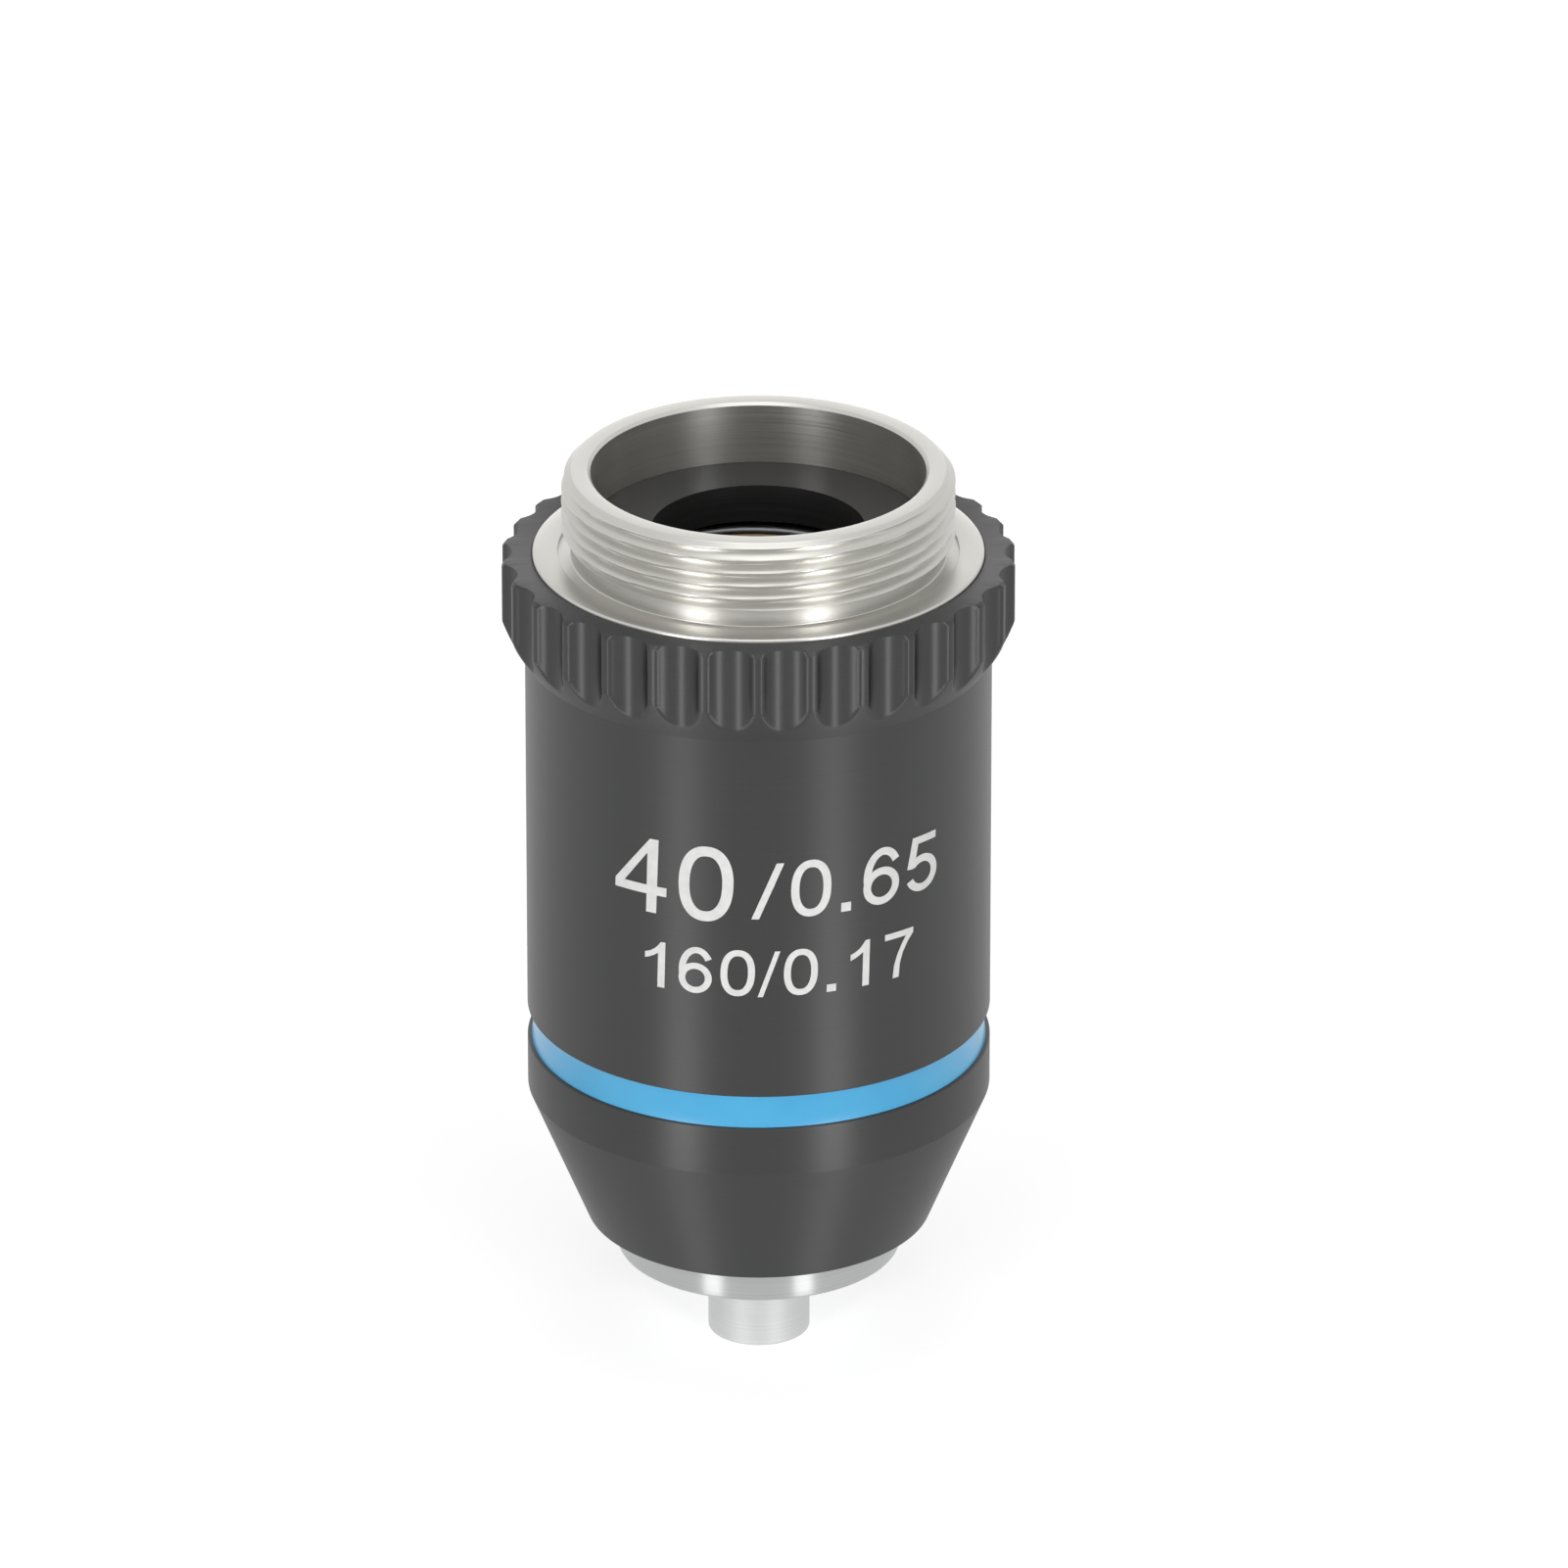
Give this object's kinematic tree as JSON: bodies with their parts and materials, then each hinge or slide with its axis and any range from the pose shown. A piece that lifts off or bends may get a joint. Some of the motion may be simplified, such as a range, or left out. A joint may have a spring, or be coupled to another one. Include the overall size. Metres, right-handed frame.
{
  "type": "microscope objective",
  "caption": "Dark grey microscope objective with a fluted collar, light blue band, cone, bright ring and spring-loaded tip.",
  "frame": {"origin": "centre of the seating face of the mounting thread, on the optical axis", "axes": "+Z along the optical axis, out of the mounting thread; -Y is the front, where the figures are"},
  "size_m": [0.0262, 0.0264, 0.0487],
  "materials": {
    "sleeve_paint": "satin dark grey coat",
    "band_enamel": "light blue enamel",
    "plated_body": "plated brass, satin",
    "black_metal": "blackened brass",
    "spring_steel": "bare wire",
    "lens_brass": "turned",
    "nose_chrome": "bright plated",
    "crown_glass": "polished and coated",
    "flint_glass": "polished and coated"
  },
  "bodies": {
    "body": {"outer_sleeve": "sleeve_paint", "colour_band": "band_enamel", "mount_body": "plated_body", "spring_retainer": "black_metal", "compression_spring": "spring_steel", "guide_screw": "spring_steel", "focus_shim": "lens_brass"},
    "nose": {"lens_tube": "lens_brass", "nose_shell": "nose_chrome", "front_cell": "nose_chrome", "front_lens": "crown_glass", "middle_cell": "lens_brass", "middle_flint": "flint_glass", "middle_crown": "crown_glass", "middle_ring": "black_metal", "cell_spacer": "lens_brass", "rear_cell": "lens_brass", "rear_flint": "flint_glass", "rear_crown": "crown_glass", "rear_ring": "black_metal", "aperture_stop": "black_metal", "lock_ring": "black_metal"}
  },
  "joints": [
    {"name": "nose_slide", "type": "slide", "parent": "body", "child": "nose", "axis": [0, 0, 1], "range_m": [0, 0.002], "stiffness_N_per_m": 380, "springref_m": -0.008, "deforming": ["compression_spring"]}
  ]
}
